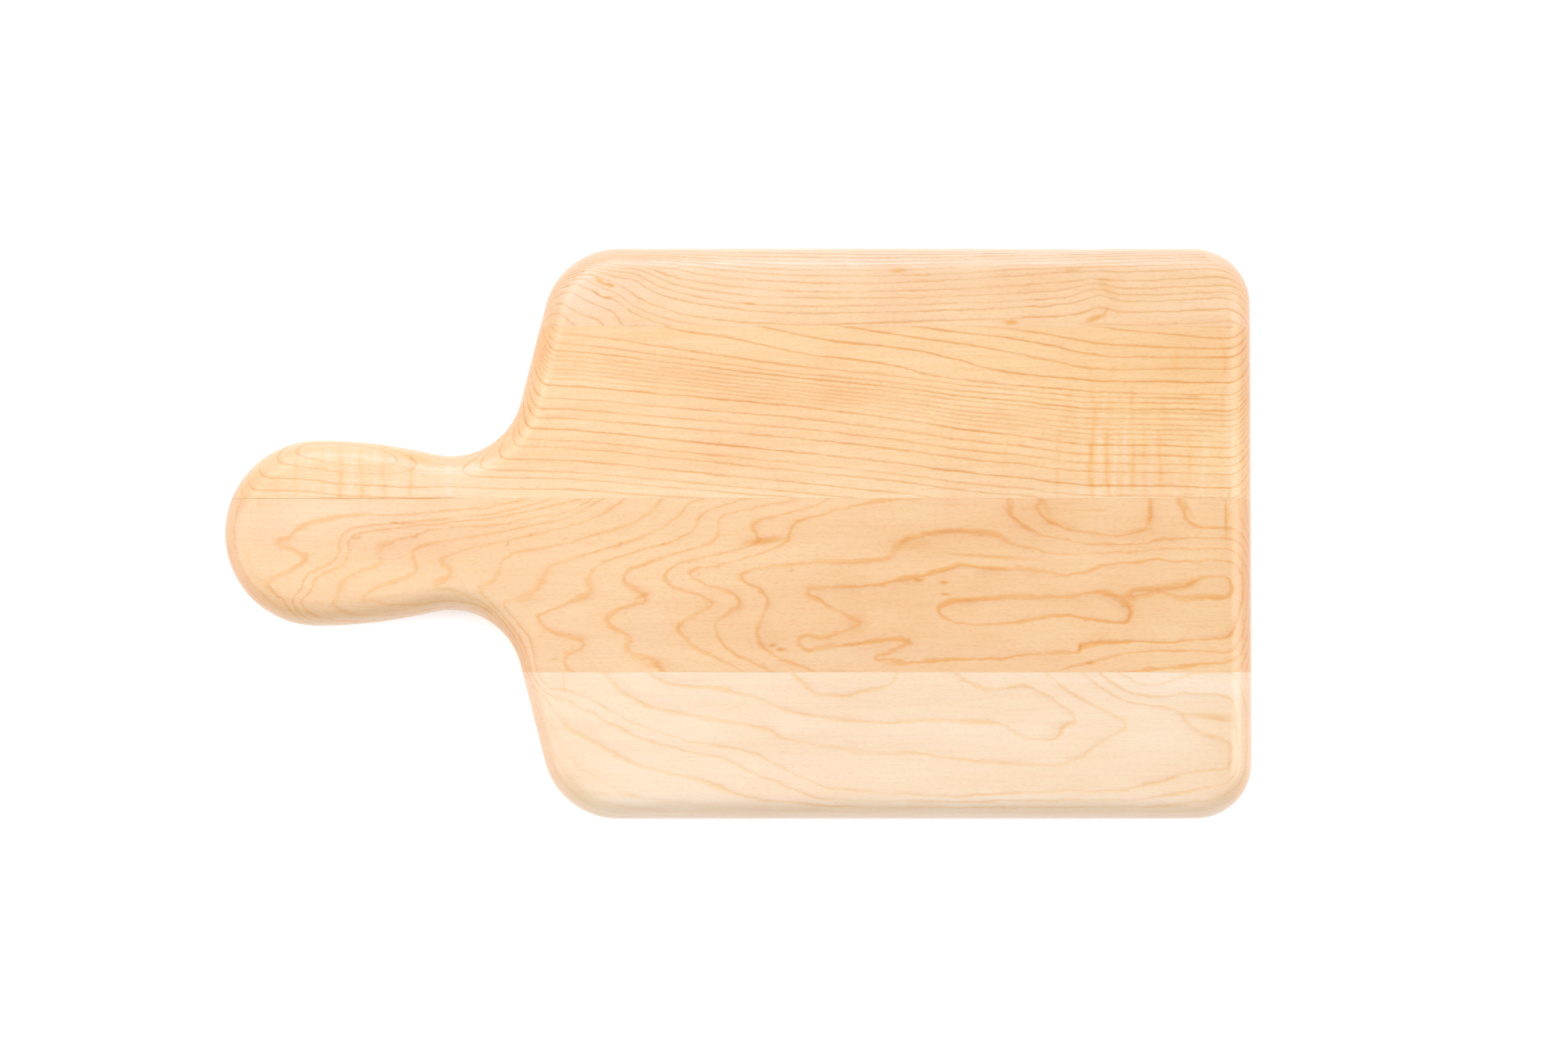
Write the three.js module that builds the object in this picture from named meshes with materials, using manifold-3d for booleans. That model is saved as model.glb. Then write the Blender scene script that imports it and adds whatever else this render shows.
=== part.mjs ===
// A paddle-shaped cutting board: four maple staves glued edge to edge, sawn to a paddle
// outline with a knob-ended handle, and rounded over along both faces.
//
// Millimetres. The board lies flat: +X runs from the handle to the square end, +Y runs
// across the staves, +Z is up. The origin is the middle of the underside.

import * as THREE from "three";
import { mergeVertices } from "three/addons/utils/BufferGeometryUtils.js";
import Module from "manifold-3d";

// ---- Driving dimensions -------------------------------------------------------------

const LENGTH = 365; // knob tip to square end
const WIDTH = 203; // across the blade
const THICKNESS = 19;
const EDGE_RADIUS = 8.5; // round-over along both faces

const KNOB_RADIUS = 33; // round end of the handle
const NECK_X = -102.2; // where the handle is narrowest
const NECK_HALF_WIDTH = 27.4;
const NECK_FILLET = 25.7; // hollow between the handle and the shoulder
const SHOULDER_LEAN = THREE.MathUtils.degToRad(14.25); // shoulder's lean off square
const SHOULDER_CORNER = 26.8;
const END_CORNER = 20;

// Where the staves meet, and the film of glue in each joint.
const SEAM_Y = [73, 12, -49.5];
const GLUE_THICKNESS = 0.125;

// Fineness of the facets.
const ARC_STEP = THREE.MathUtils.degToRad(6);
const FLATTEST_ARC_STEPS = 5;
const ROUND_OVER_STEPS = 6;

// ---- Wood and glue ------------------------------------------------------------------

const WOOD_ROUGHNESS = 0.5;
const GLUE_ROUGHNESS = 0.6;

function matte(color, roughness) {
  return new THREE.MeshStandardMaterial({ color, roughness, metalness: 0 });
}

// ---- Outline ------------------------------------------------------------------------

// Points round an arc, from one angle to another, both included.
function arc(x, y, radius, from, to) {
  const steps = Math.max(FLATTEST_ARC_STEPS, Math.ceil(Math.abs(to - from) / ARC_STEP));
  return Array.from({ length: steps + 1 }, (_, i) => {
    const angle = from + ((to - from) * i) / steps;
    return new THREE.Vector2(x + radius * Math.cos(angle), y + radius * Math.sin(angle));
  });
}

// The outline's +Y half, from the knob's tip to the middle of the square end. Each arc
// runs into the next with no corner.
function upperHalf() {
  const halfTurn = Math.PI / 2;
  const knobX = -LENGTH / 2 + KNOB_RADIUS;
  const topY = WIDTH / 2;

  // The handle's swell is the shallow arc that leaves the knob's widest place and meets
  // the neck's hollow on a common tangent.
  const run = NECK_X - knobX;
  const drop = KNOB_RADIUS - NECK_HALF_WIDTH;
  const swellTurn = 2 * Math.atan(drop / run);
  const swellRadius = run / Math.sin(swellTurn) - NECK_FILLET;

  // The shoulder is a straight line tangent to the neck's hollow. Its normal points
  // into the blade.
  const normal = new THREE.Vector2(Math.cos(SHOULDER_LEAN), -Math.sin(SHOULDER_LEAN));
  const neckY = NECK_HALF_WIDTH + NECK_FILLET;
  const shoulderOffset = normal.x * NECK_X + normal.y * neckY + NECK_FILLET;
  const cornerY = topY - SHOULDER_CORNER;
  const cornerX = (shoulderOffset + SHOULDER_CORNER - normal.y * cornerY) / normal.x;

  return [
    ...arc(knobX, 0, KNOB_RADIUS, Math.PI, halfTurn),
    ...arc(knobX, KNOB_RADIUS - swellRadius, swellRadius, halfTurn, halfTurn - swellTurn),
    ...arc(NECK_X, neckY, NECK_FILLET, -halfTurn - swellTurn, -SHOULDER_LEAN),
    ...arc(cornerX, cornerY, SHOULDER_CORNER, Math.PI - SHOULDER_LEAN, halfTurn),
    ...arc(LENGTH / 2 - END_CORNER, topY - END_CORNER, END_CORNER, halfTurn, 0),
    new THREE.Vector2(LENGTH / 2, 0),
  ];
}

// The whole outline, anticlockwise, with the points where two arcs meet kept once.
function outline() {
  const upper = upperHalf();
  const lower = upper.map((p) => new THREE.Vector2(p.x, -p.y));
  const closest = 0.01;
  const points = [...lower, ...upper.reverse()];
  const distinct = points.filter((p, i) => p.distanceTo(points.at(i - 1)) > closest);
  return new THREE.Shape(distinct);
}

// ---- Solids -------------------------------------------------------------------------

const wasm = await Module();
wasm.setup();

function toSolid(geometry) {
  geometry.deleteAttribute("normal");
  geometry.deleteAttribute("uv");
  const merged = mergeVertices(geometry, 1e-4);
  return new wasm.Manifold(
    new wasm.Mesh({
      numProp: 3,
      vertProperties: merged.attributes.position.array,
      triVerts: new Uint32Array(merged.index.array),
    }),
  );
}

function toGeometry(solid) {
  const mesh = solid.getMesh();
  const geometry = new THREE.BufferGeometry();
  geometry.setAttribute("position", new THREE.BufferAttribute(mesh.vertProperties, 3));
  geometry.setIndex(new THREE.BufferAttribute(mesh.triVerts, 1));
  geometry.computeVertexNormals();
  return geometry;
}

// The whole board in one piece, with a quarter-round along both faces.
function boardBlank() {
  const blank = new THREE.ExtrudeGeometry(outline(), {
    depth: THICKNESS - 2 * EDGE_RADIUS,
    bevelThickness: EDGE_RADIUS,
    bevelSize: EDGE_RADIUS,
    bevelOffset: -EDGE_RADIUS,
    bevelSegments: ROUND_OVER_STEPS,
  });
  blank.translate(0, 0, EDGE_RADIUS);
  return toSolid(blank);
}

// The part of the blank between two planes across Y.
function sliceAcross(blank, lowY, highY) {
  const slab = new THREE.BoxGeometry(2 * LENGTH, highY - lowY, 2 * THICKNESS);
  slab.translate(0, (lowY + highY) / 2, THICKNESS / 2);
  return blank.intersect(toSolid(slab));
}

// ---- Assembly -----------------------------------------------------------------------

const blank = boardBlank();
const [narrowSeam, handleSeam, paleSeam] = SEAM_Y;
const halfGlue = GLUE_THICKNESS / 2;
const beyondEdge = WIDTH; // past the board's side, so that the cut takes all of it

const board = new THREE.Group();

function addSlice(name, lowY, highY, color, roughness) {
  const geometry = toGeometry(sliceAcross(blank, lowY, highY));
  const mesh = new THREE.Mesh(geometry, matte(color, roughness));
  mesh.name = name;
  board.add(mesh);
}

function addStave(name, lowY, highY, color) {
  addSlice(name, lowY, highY, color, WOOD_ROUGHNESS);
}

function addGlueLine(name, seamY) {
  addSlice(name, seamY - halfGlue, seamY + halfGlue, "#d9ab72", GLUE_ROUGHNESS);
}

// From the narrow far edge to the pale near edge. The handle is shared by the two
// middle staves.
addStave("narrow_edge_stave", narrowSeam + halfGlue, beyondEdge, "#fdd5ab");
addStave("straight_grain_stave", handleSeam + halfGlue, narrowSeam - halfGlue, "#fcd2a1");
addStave("handle_stave", paleSeam + halfGlue, handleSeam - halfGlue, "#f8cda0");
addStave("pale_edge_stave", -beyondEdge, paleSeam - halfGlue, "#fbe1c3");

addGlueLine("narrow_edge_glue_line", narrowSeam);
addGlueLine("handle_glue_line", handleSeam);
addGlueLine("pale_edge_glue_line", paleSeam);

export default board;
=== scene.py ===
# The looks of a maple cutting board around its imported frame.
#
# Every stave is cut out of one finely meshed board, so that neighbours meet exactly. At each
# vertex a stave carries which growth ring the surface is in there, how many millimetres along
# the surface one ring takes up, and how strong the nearest growth line is. The wood shader
# draws the growth lines from those, so the figure runs through the round-overs, the ends and
# the underside. Flecks, soft patches and curl are carried in the same way.
# Some pale patches along the rims are painted highlight, and the pale heart of a small round fleck is
# a painted glint.

import math

import bmesh
import bpy
import numpy as np
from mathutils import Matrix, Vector
from mathutils.geometry import delaunay_2d_cdt


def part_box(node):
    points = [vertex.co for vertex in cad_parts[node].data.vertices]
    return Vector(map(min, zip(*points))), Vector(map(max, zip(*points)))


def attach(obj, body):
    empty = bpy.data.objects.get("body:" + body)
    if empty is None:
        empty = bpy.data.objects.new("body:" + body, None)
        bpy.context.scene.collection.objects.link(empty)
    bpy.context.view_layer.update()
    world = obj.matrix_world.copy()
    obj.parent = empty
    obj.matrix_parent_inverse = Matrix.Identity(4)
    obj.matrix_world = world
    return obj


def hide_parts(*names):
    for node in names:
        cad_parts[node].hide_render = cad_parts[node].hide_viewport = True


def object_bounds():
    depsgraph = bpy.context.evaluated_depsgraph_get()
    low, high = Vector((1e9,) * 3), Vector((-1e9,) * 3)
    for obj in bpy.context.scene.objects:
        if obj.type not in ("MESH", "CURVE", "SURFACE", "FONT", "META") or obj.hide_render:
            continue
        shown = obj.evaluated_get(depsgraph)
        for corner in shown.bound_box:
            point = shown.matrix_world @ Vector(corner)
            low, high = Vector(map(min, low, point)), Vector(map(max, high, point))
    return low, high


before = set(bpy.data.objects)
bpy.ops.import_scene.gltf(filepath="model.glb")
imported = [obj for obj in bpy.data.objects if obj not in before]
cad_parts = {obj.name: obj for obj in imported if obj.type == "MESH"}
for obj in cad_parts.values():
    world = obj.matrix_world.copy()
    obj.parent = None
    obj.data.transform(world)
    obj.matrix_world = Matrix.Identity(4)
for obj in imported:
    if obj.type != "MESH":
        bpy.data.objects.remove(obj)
cad_low, cad_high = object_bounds()

MM = 0.001

# ---- Sizes of the board, in millimetres ---------------------------------------------------

LENGTH = (cad_high.x - cad_low.x) / MM
WIDTH = (cad_high.y - cad_low.y) / MM
THICKNESS = (cad_high.z - cad_low.z) / MM

KNOB_RADIUS = 33
NECK_X = -102.2
NECK_HALF_WIDTH = 27.4
NECK_FILLET = 25.7
SHOULDER_LEAN = math.radians(14.25)
SHOULDER_CORNER = 26.8
END_CORNER = 20

EDGE_INSET = 8.5  # width of the round-over, seen from above
EDGE_RADIUS = 9.35  # a little more, so that the face ends in a faint arris
ARRIS_TILT = math.asin(1 - EDGE_INSET / EDGE_RADIUS)

# Fineness of the mesh.
OUTLINE_STEP = 1.0
FACE_STEP = 1.0
UNDERSIDE_STEP = 1.9
TOP_RINGS = 15
UNDER_RINGS = 9
FLECK_STEP = 0.35
SHARP_EDGE = math.radians(40)

STAVES = ("narrow_edge", "straight_grain", "handle", "pale_edge")

# ---- Growth lines on the cutting face, in millimetres -------------------------------------
#
# Each line is (ring number, points along it). A field through them gives the ring number
# everywhere else, and depth below the face is added to it further down. A growth line is
# drawn wherever the number is whole, so the guides with a fraction only keep lines out of
# wide plain places.

NARROW_EDGE_LINES = [
    (1, [(-63, 78), (-60, 75), (-56, 72)]),
    (2, [(-61.5, 81), (-57, 78), (-50, 75.4), (-46, 71.5)]),
    (3, [(-60, 85.6), (-56, 83.3), (-50, 80.5), (-46, 79), (-43, 76.5), (-40, 73)]),
    (4, [(-57, 88), (-52, 85.8), (-48, 83.6), (-43, 82), (-40, 80), (-37, 77.8),
         (-32, 75.6), (-22, 72.6)]),
    (5, [(-54.5, 89.6), (-50, 87.5), (-45, 85.5), (-41, 83.3), (-37, 80.3), (-27, 76.2),
         (-15, 73.6), (-5, 72.5)]),
    (6, [(-52, 91.6), (-43, 87.8), (-39, 85.8), (-35, 83), (-30, 80.6), (-18, 77), (0, 74.5),
         (30, 73.6), (70, 74.9), (105, 76), (116, 76.8), (122, 77.6), (127, 79.4),
         (130, 79.3), (134, 78.3), (142, 78), (172, 79)]),
    (7, [(-36.5, 89.6), (-33, 87), (-28, 84.6), (-18, 81.8), (0, 79.2), (10, 78.2),
         (30, 77.6), (70, 78.6), (105, 80), (115, 80.8), (121, 81.7), (126, 83.6),
         (129.5, 83.8), (134, 82.3), (142, 81.8), (172, 83.1)]),
    (8, [(-35, 91), (-27, 86.8), (-20, 84.8), (-4, 81.7), (20, 80), (60, 80.5), (100, 82),
         (112, 82.8), (119, 84), (125, 86), (130, 85.7), (135, 84.3), (145, 84.1),
         (172, 85.1)]),
    (9, [(-34, 92.6), (-20, 87.3), (0, 84.2), (15, 83.3), (60, 83.2), (100, 84.9),
         (113, 85.7), (121, 87), (127, 88.3), (132, 87.2), (140, 86.5), (172, 87.4)]),
    (10, [(-34, 94.4), (-28, 92.3), (-21, 89.9), (-4, 87.4), (25, 85.1), (65, 85.6),
          (103, 87.6), (123, 89.4), (131, 89.4), (142, 89), (163, 90.3), (172, 90.7)]),
    (11, [(-23, 93.6), (-8, 90.7), (20, 88.7), (40, 88.3), (60, 88.7), (98, 90.9),
          (120, 92.4), (140, 92.4), (170, 93.6)]),
    (12, [(-30, 96), (-10, 93.4), (12, 91.6), (40, 90.8), (70, 91.3), (103, 93.3),
          (150, 95), (170, 96)]),
    (13, [(-30, 98), (10, 93.6), (50, 92.9), (85, 94.4), (120, 95.6), (170, 97.8)]),
    (15, [(-50, 103), (0, 98), (60, 97), (175, 102)]),
    (18, [(-60, 110), (60, 104), (180, 108)]),
    (23, [(-60, 121), (60, 116), (180, 119)]),
]

HANDLE_LINES = [
    (1, [(-68, 14), (-76, 12), (-83, 10.3), (-91, 8.7), (-105, 7.6), (-120, 6.1), (-138, 6),
         (-148, 4), (-153, 2.5), (-158, -1), (-162.5, -4), (-159, -6), (-155, -7.6),
         (-152.8, -9.2), (-155, -11.3), (-160, -14.3), (-165.5, -17.5), (-166.3, -19.3),
         (-163.5, -23), (-161, -25.5)]),
    (2, [(-59, 14), (-65, 12), (-70, 10.3), (-77, 8.4), (-88, 6.2), (-105, 4.6), (-120, 3.2),
         (-133, 1.9), (-138, 0.5), (-140.6, -3), (-141.4, -8.5), (-144, -11.2),
         (-149, -13.6), (-153, -16.2), (-154, -19.5), (-157.5, -24)]),
    (3, [(-50, 14), (-55, 12), (-62, 10.2), (-70, 8.6), (-80, 6.4), (-90, 4.6), (-100, 3.7),
         (-115, 2), (-130, 0.6), (-136, -1.5), (-138, -4), (-138.4, -9.5), (-142, -12.6),
         (-147, -15), (-150, -17.2), (-150.6, -20), (-154.5, -24.5)]),
    (4, [(-47.5, 14), (-51, 12.3), (-56, 9), (-62, 6.7), (-70, 5.3), (-80, 3.6), (-90, 2.3),
         (-110, 0.6), (-114, -1), (-119, -2.2), (-122, -3.8), (-126.3, -5.5), (-127.3, -8),
         (-126, -10.3), (-131, -12.6), (-136, -15), (-139.5, -17.5), (-140.8, -21),
         (-143, -24.5)]),
    (5, [(-44, 14), (-47, 12.3), (-52, 9.5), (-57, 6.5), (-62, 4.6), (-70, 3), (-85, 0),
         (-104, -3.3), (-110, -4.3), (-113.5, -5.8), (-114.8, -8), (-113.6, -11.5),
         (-114.3, -14.5), (-120, -17), (-127, -19.3), (-131, -21.7), (-133, -24.2),
         (-129, -26)]),
    (6, [(-37, 14), (-40, 12), (-44, 8.8), (-49, 6), (-55, 3.4), (-62, 1.4), (-78, -2),
         (-86, -4), (-94, -5.7), (-100, -7.4), (-105, -10), (-103, -12), (-101.3, -14.3),
         (-104.5, -17.2), (-108.5, -19.8), (-104, -22.4), (-97, -24.3), (-91, -27)]),
    (7, [(-25, 14), (-27.5, 11), (-30, 7.5), (-35, 4.4), (-41, 2), (-56, -2.8), (-72, -6),
         (-79, -7), (-83, -9.7), (-83.8, -13), (-86, -16.8), (-91.8, -20.4),
         (-90.5, -23.5), (-87, -27.5)]),
    (8, [(-7, 13.5), (-12, 12), (-17, 10.3), (-20, 7), (-24, 3.6), (-28, 1), (-40, -3.5),
         (-57, -9.2), (-64, -10.8), (-66.8, -12.4), (-68, -15.5), (-70.6, -19),
         (-73.6, -22), (-78, -24.2), (-82.5, -25.3), (-82.5, -28), (-80, -31.5)]),
    (9, [(10, 13.5), (-2, 10.3), (-9, 8), (-13.3, 5.8), (-15.2, 2.5), (-16.5, 0.3),
         (-21, -2), (-27, -4.2), (-45, -9.7), (-50, -12), (-52.5, -15.5), (-52.7, -18.5),
         (-51.3, -20.5), (-54.5, -22.6), (-60, -25), (-67, -27.4), (-71.5, -29),
         (-70, -31.5), (-66, -35.3), (-60, -37), (-54.5, -39), (-57, -41.6), (-61, -44.2),
         (-61, -46.8), (-58, -50)]),
    (10, [(26, 13), (17, 11), (0, 7.5), (-5.5, 5.6), (-6.8, 2.5), (-7.2, -1.3), (-10, -4),
          (-17, -6.3), (-34, -11.5), (-39, -14), (-40.7, -16.5), (-38.7, -18.8),
          (-35.5, -21), (-32.5, -23.3), (-35, -25), (-40, -26.3), (-44.5, -29),
          (-46.2, -31.5), (-43.5, -34.2), (-39, -36.5), (-37.5, -38.3), (-39.3, -41),
          (-37.5, -43), (-31, -45), (-26, -50)]),
    (11, [(36, 13.5), (31, 11), (25, 8.7), (9, 4.8), (5.7, 3.3), (5.2, 1), (7.5, -1.8),
          (7, -4.2), (0, -6.1), (-18, -10.4), (-23.5, -12.8), (-26, -15.2), (-24.5, -18),
          (-18, -20.8), (-12, -23), (-9, -25.2), (-12.5, -28), (-18, -31), (-21.3, -33.5),
          (-19.5, -36.5), (-16.5, -39.8), (-10, -43.4), (-4, -46), (3, -50)]),
    (12, [(72, 13.5), (50, 10.8), (40, 9.2), (25.5, 5.2), (21, 3.7), (19, 0.8),
          (17.5, -2.8), (14, -5.5), (0, -9.7), (-8, -12.1), (-14, -13), (-17.3, -14.3),
          (-15.5, -16.8), (-10, -19.3), (-3, -21.2), (0.4, -23.2), (0, -26.2), (-5, -29.5),
          (-8.3, -32.2), (-7.6, -35), (-6, -38.6), (-3, -42), (3, -45), (12, -49.5)]),
    (13, [(172, -5.9), (150, -6.1), (128, -7.5), (118, -8), (111, -7.3), (104, -5.4),
          (98, -4.4), (94, -2), (88, -0.2), (72, 0.2), (66, -1.3), (59, -3), (56, -5.8),
          (53, -9), (47, -10.2), (26, -10.8), (16, -11.6), (7, -12.7), (2.5, -14.5),
          (1, -16.6), (4, -18.5), (8.5, -20.8), (10.2, -24.5), (8.8, -29.5), (7, -34.5),
          (7.5, -39), (11, -42.5), (17, -45.4), (23, -47.4), (28, -50)]),
    (14, [(172, -9.8), (155, -10.3), (149, -9.5), (142, -10.4), (130, -11.4), (124, -13.5),
          (117, -14.9), (104, -13.4), (87, -12.5), (81, -11.5), (74, -13), (59, -16.6),
          (52, -18), (34, -19.5), (25, -20.2), (27.5, -23.2), (33, -26.3), (38.5, -29.5),
          (43.5, -32.6), (40, -34.4), (35, -36), (30, -37.5), (27.5, -37.4), (24.6, -36.7),
          (22, -38.2), (22.2, -40.2), (24.5, -41.6), (28, -41), (38, -39.8), (46, -38.8),
          (56, -38), (61, -39.2), (55, -41.8), (48.5, -44.4), (56, -45.8), (66, -45.8),
          (93, -44.7), (103, -43.1), (120.5, -42.5), (121.5, -40.6), (130, -39.2),
          (155, -38.9), (172, -37.6)]),
    (15, [(71, -28), (73.5, -25.3), (80, -23.9), (105, -22.8), (117, -22.9), (125, -21.4),
          (132, -21.8), (137, -24.8), (139.3, -28.5), (138, -31.5), (133, -32.2),
          (125, -31), (118, -29.7), (111, -29.6), (103, -31.4), (92, -32.8), (82, -32.9),
          (74.5, -31.3), (71, -28)]),
    (15, [(172, -15.4), (164, -16), (160, -18), (155, -19.6), (140, -20.4), (137, -22.8),
          (142, -22.6), (150, -21.4), (156, -23.3), (172, -22.9)]),
    (13, [(109, -50), (117, -47.6), (125, -46), (132, -44.2), (138, -42.7), (146, -42.1),
          (172, -42.3)]),
    (12, [(138, -50), (148, -48.2), (158, -47.5), (174, -45.9)]),
    (12, [(95.5, 14), (96.2, 10), (97, 6), (99.5, 3.5), (103, 1), (108, -1), (116, -2.8),
          (126, -4.1), (137, -4.2), (145, -3.6), (150, -2.1), (158, -2.3), (172, -2)]),
    (11, [(108.5, 14), (106.5, 9), (107.5, 6), (111, 3.5), (117, 1.2), (125, -0.4),
          (132, -1.5), (138, -1), (143.5, 0.8), (145.5, 4), (145.6, 9), (146.3, 14)]),
    (11, [(154.5, 14), (157.3, 10), (158.3, 6.5), (161, 3), (166, 1.7), (174, 1.2)]),
    (0.6, [(-170, 9), (-175, 0), (-174, -9), (-171, -16), (-166, -23)]),
    (0.4, [(-150, 12.5), (-125, 12.5), (-100, 13)]),
    (1.4, [(-148, -0.5), (-147.5, -6), (-149, -10.5)]),
    (3.5, [(-133, -4.5), (-133, -9.5)]),
    (4.5, [(-120.5, -6), (-120.5, -11), (-122.5, -14.5)]),
    (5.5, [(-109.5, -7.5), (-108, -13)]),
    (10.6, [(116, 9.5), (122, 6.5), (132, 5.5), (140, 8)]),
    (10.6, [(164, 10), (169, 7), (176, 6)]),
    (14.4, [(33, -21.8), (45, -24), (57, -27), (65, -29)]),
    (14.35, [(60, -42.3), (72, -42.6), (90, -41.8), (108, -40.3)]),
    (13.6, [(36, -43), (44, -42.2)]),
    (14.25, [(24, -39), (26, -39.2)]),
    (8.5, [(-59, -16), (-62, -21), (-75, -31)]),
    (9.5, [(-57, -29), (-52, -34), (-47, -39), (-48, -44)]),
    (8.5, [(-72, -35), (-67, -40), (-70, -46)]),
    (14.3, [(36, -38.2), (48, -36), (60, -34.5), (75, -35), (95, -35.8), (125, -35.3),
            (150, -33.5), (173, -32)]),
    (14.5, [(75, -18.3), (95, -17.8), (115, -18.6), (130, -16.5), (145, -15), (158, -13.6),
            (172, -12.6)]),
    (14.6, [(146, -27), (155, -27.5), (172, -27)]),
    (15.3, [(82, -28), (100, -27), (118, -26), (131, -27.5)]),
    (15.2, [(163, -19.7), (172, -19.2)]),
]

PALE_EDGE_LINES = [
    (5, [(19, -48), (20.5, -51), (24, -54), (27.5, -56.6), (33, -57.4), (38.5, -57.9),
         (43, -56.4), (50, -55.1), (54.3, -54), (55.8, -51), (57, -48)]),
    (4, [(-33, -48), (-28.5, -51.8), (-20, -54), (-5, -55.6), (10, -60), (18, -63.3),
         (33, -66.2), (52, -67.6), (60, -66.5), (84, -66.8), (92, -67.7), (97, -70.2),
         (103, -73.2), (110, -73.7), (113.5, -71.8), (115.5, -68.5), (119.2, -65.6),
         (117, -62.8), (112, -59), (106, -55.8), (101, -53.6), (96, -54.8), (90, -55.5),
         (84, -54.2), (79, -51.3), (76, -48)]),
    (3, [(-49, -48), (-45.5, -52), (-41, -56.3), (-35, -60), (-28, -62.8), (-10, -66),
         (8, -69.3), (14, -72), (20, -74), (50, -78.2), (62, -78.2), (82, -80.6),
         (103, -82.2), (112, -82.4), (119, -80.8), (124, -77.3), (130, -73.3), (136, -70),
         (137.4, -68), (133.5, -65), (120, -58), (114, -53.8), (108, -48.5)]),
    (2, [(-67, -55), (-60, -55.9), (-52, -59.4), (-36, -67.6), (-20, -73), (0, -77),
         (8, -79.3), (20, -85.6), (27, -88.6), (35, -90.8), (60, -92.4), (75, -93.4),
         (105, -92), (132, -91.3), (142, -90), (158, -85.6), (166, -84), (173, -83.5),
         (174.8, -80), (174.3, -75.5), (171, -73), (164, -70.8), (160, -68),
         (157.5, -64.5), (152, -61.9), (143, -60.6), (135, -58.5), (128, -54.5),
         (121, -48.5)]),
    (1, [(-67, -57.6), (-60, -59.6), (-53, -63.4), (-38, -71), (-31, -74), (-12, -78.8),
         (-4, -80.6), (10, -86.8), (26, -93), (35, -94.8), (80, -95.5), (135, -94.7),
         (148, -94), (157, -91.8), (170, -89.6), (175, -86.5), (176.5, -80), (176.6, -68),
         (175.5, -61), (171, -57.8), (160, -57), (148, -57.9), (140, -56.8), (133, -53.4),
         (127, -48.5)]),
    (4.5, [(35, -61.5), (60, -61), (88, -61), (103, -63.5), (108, -68)]),
    (3.5, [(20, -68.5), (60, -72.5), (95, -75.5), (115, -77.5), (124, -71), (126.5, -67)]),
    (2.5, [(30, -82.5), (60, -85.5), (90, -87), (118, -86.5), (135, -81.5), (150, -77),
           (150, -69), (145, -65)]),
    (2.4, [(157, -77), (167, -78)]),
    (2.7, [(-65, -50), (-55, -50)]),
    (0, [(-69, -59), (-65, -63), (-61, -67.8), (-55, -72), (-40, -80), (-33, -83.2),
         (-15, -87.3), (-7, -89.6), (0, -92.6), (6, -94.6), (20, -97), (60, -99),
         (140, -98.5)]),
]

# The straight-grained stave's lines run from end to end. Most of them run alike, so each is
# only its ring number, its strength and its heights at X = -72, 20 and 172. RUN is 0, 1 and
# 2 at those places and says how the lines go in between and beyond. The upper lines wander,
# and are given by ring number, strength and points.
STRAIGHT_GRAIN_HEIGHTS = [
    (-8, 0.6, -17.6, -22.4, -33.5),
    (0, 0.6, 11.5, 6.5, -8),
    (1, 0.65, 15.3, 9.5, -5),
    (2, 0.6, 19.2, 12.2, -1),
    (3, 0.6, 21.6, 14.2, 2.2),
    (4, 0.75, 25.7, 17.7, 5.5),
    (5, 0.7, 30.3, 21.9, 9.5),
    (6, 0.6, 32.8, 24.4, 12),
    (7, 1.0, 36.6, 28.4, 15.6),
    (8, 0.8, 40.6, 33.5, 20.5),
    (9, 0.7, 43.7, 36.9, 23.4),
    (10, 0.75, 47.5, 40.6, 26.4),
    (11, 0.95, 52.2, 44.9, 29.9),
    (12, 0.45, 54.6, 46.6, 32),
    (13, 0.5, 56.6, 47.9, 33.8),
    (14, 0.5, 58, 49.1, 35.6),
    (15, 0.5, 59.4, 50.4, 37.3),
    (16, 0.5, 61.2, 51.7, 39.4),
    (17, 0.55, 62.7, 53.2, 41.6),
    (18, 0.9, 64.6, 54.9, 42.9),
    (19, 0.7, 67.3, 56.3, 45.2),
    (20, 0.75, 70.7, 58.9, 47),
]
WANDERING_LINES = [
    (21, 1.0, [(-72, 80), (-40, 75.8), (-28, 73.4), (-20, 71.4), (-10, 70.1), (0, 68.4), (10, 66),
               (20, 63.8), (30, 62.2), (40, 61.2), (50, 59.8), (60, 57.7), (70, 55.1), (80, 53.8),
               (100, 51.7), (120, 50.2), (130, 49.4), (172, 48.4)]),
    (22, 1.0, [(-72, 86.5), (-20, 78), (8, 73), (20, 70.4), (30, 68.4), (40, 67), (50, 66),
               (60, 65), (70, 63.1), (80, 60.5), (90, 57.7), (100, 56.1), (115, 54.7),
               (130, 53.4), (150, 53.3), (172, 52.9)]),
    (23, 0.8, [(-72, 92), (0, 79.5), (40, 72.7), (50, 71), (60, 69.4), (80, 66.7), (90, 65),
               (100, 63), (110, 60.9), (125, 58.1), (135, 57.6), (160, 58), (172, 57.7)]),
    (24, 0.95, [(-72, 98), (10, 82), (62, 73), (80, 70.7), (95, 69), (105, 67.3), (125, 63.2),
                (135, 62), (172, 61.9)]),
    (25, 0.75, [(-72, 104), (30, 83), (85, 73), (95, 72), (110, 70.1), (125, 67.4), (135, 66.4),
                (172, 65)]),
    (26, 0.7, [(-72, 116), (60, 87), (122, 73.6), (135, 71.9), (160, 69.5), (172, 68.7)]),
    (30, 0.7, [(-72, 132), (60, 103), (172, 84)]),
]
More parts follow.
